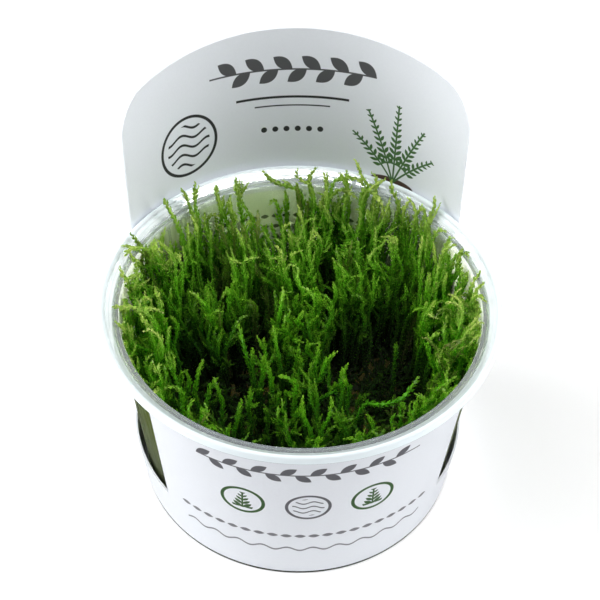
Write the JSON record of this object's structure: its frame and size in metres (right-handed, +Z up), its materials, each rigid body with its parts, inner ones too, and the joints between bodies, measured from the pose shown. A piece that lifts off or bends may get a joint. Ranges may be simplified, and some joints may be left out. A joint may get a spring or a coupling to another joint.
{
  "type": "tissue culture moss in a clear cup with a card sleeve",
  "caption": "Dense upright moss growing on gel in a clear round tapered cup, with a white printed card sleeve whose back panel stands up behind the rim as a header.",
  "frame": {"origin": "centre of the cup's flat foot, on the surface it stands on", "axes": "+Z up along the cup's axis, -Y towards the front panel of the sleeve, +X to the right seen from the front"},
  "size_m": [0.1, 0.1083, 0.098],
  "materials": {
    "clear_plastic": "clear, glossy, a little milky at the rim",
    "clear_gel": "clear wet jelly",
    "white_card": "smooth coated card, printed",
    "green_moss": "moist leafy shoots"
  },
  "bodies": {
    "root": {"cup": "clear_plastic", "growth_gel": "clear_gel", "sleeve": "white_card", "moss_wall_01": "green_moss", "moss_wall_02": "green_moss", "moss_wall_03": "green_moss", "moss_wall_04": "green_moss", "moss_wall_05": "green_moss", "moss_wall_06": "green_moss", "moss_wall_07": "green_moss", "moss_wall_08": "green_moss", "moss_wall_09": "green_moss", "moss_wall_10": "green_moss", "moss_wall_11": "green_moss", "moss_wall_12": "green_moss", "moss_wall_13": "green_moss", "moss_wall_14": "green_moss", "moss_wall_15": "green_moss", "moss_wall_16": "green_moss", "moss_wall_17": "green_moss", "moss_wall_18": "green_moss", "moss_middle_01": "green_moss", "moss_middle_02": "green_moss", "moss_middle_03": "green_moss", "moss_middle_04": "green_moss", "moss_middle_05": "green_moss", "moss_middle_06": "green_moss", "moss_middle_07": "green_moss", "moss_middle_08": "green_moss", "moss_middle_09": "green_moss", "moss_middle_10": "green_moss", "moss_middle_11": "green_moss", "moss_middle_12": "green_moss", "moss_inner_01": "green_moss", "moss_inner_02": "green_moss", "moss_inner_03": "green_moss", "moss_inner_04": "green_moss", "moss_inner_05": "green_moss", "moss_centre_01": "green_moss"}
  },
  "joints": []
}
